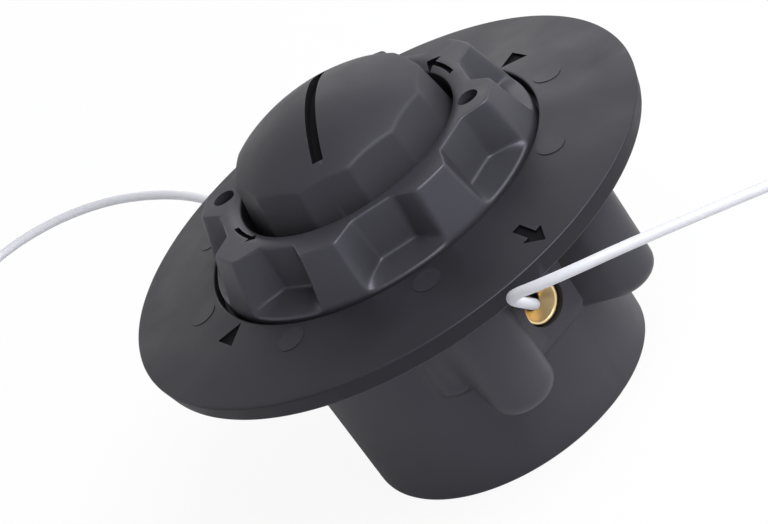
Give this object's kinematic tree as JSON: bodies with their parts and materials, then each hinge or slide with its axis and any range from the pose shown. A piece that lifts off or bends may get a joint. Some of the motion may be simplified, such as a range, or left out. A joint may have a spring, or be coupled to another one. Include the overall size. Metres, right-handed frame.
{
  "type": "bump feed trimmer head",
  "caption": "String trimmer head: a ribbed drum with brass line eyelets under a dished cover disc, a scalloped winding ring and a domed bump knob that feeds nylon line when pressed.",
  "frame": {"origin": "centre of the drum's end face, on the spindle axis", "axes": "+Z along the spindle axis towards the bump knob, -Y towards the front eyelet"},
  "size_m": [0.13, 0.2829, 0.0898],
  "materials": {
    "black_nylon": "fine grained",
    "spool_nylon": "satin",
    "eyelet_brass": "polished",
    "zinc_steel": "zinc plated",
    "spring_steel": "drawn wire",
    "line_nylon": "translucent"
  },
  "bodies": {
    "housing": {"drum_housing": "black_nylon", "drive_insert": "zinc_steel", "eyelet_front": "eyelet_brass", "eyelet_rear": "eyelet_brass", "cover_disc": "black_nylon", "disc_screws": "zinc_steel", "thrust_washer": "zinc_steel", "hub_washer": "zinc_steel", "hub_screw": "zinc_steel", "knob_spring": "spring_steel", "line_front": "line_nylon", "line_rear": "line_nylon"},
    "spool": {"line_spool": "spool_nylon", "winding_lower": "line_nylon", "winding_upper": "line_nylon", "winding_ring": "black_nylon", "ring_screws": "zinc_steel"},
    "knob": {"bump_knob": "black_nylon", "index_clutch": "spool_nylon", "knob_screw": "zinc_steel", "spring_seat": "zinc_steel"}
  },
  "joints": [
    {"name": "spool_spin", "type": "hinge", "parent": "housing", "child": "spool", "pos_m": [0, 0, 0.05], "axis": [0, 0, 1], "continuous": true},
    {"name": "knob_press", "type": "slide", "parent": "spool", "child": "knob", "axis": [0, 0, -1], "range_m": [0, 0.006], "stiffness_N_per_m": 1500, "springref_m": -0.004, "deforming": ["knob_spring"]}
  ]
}
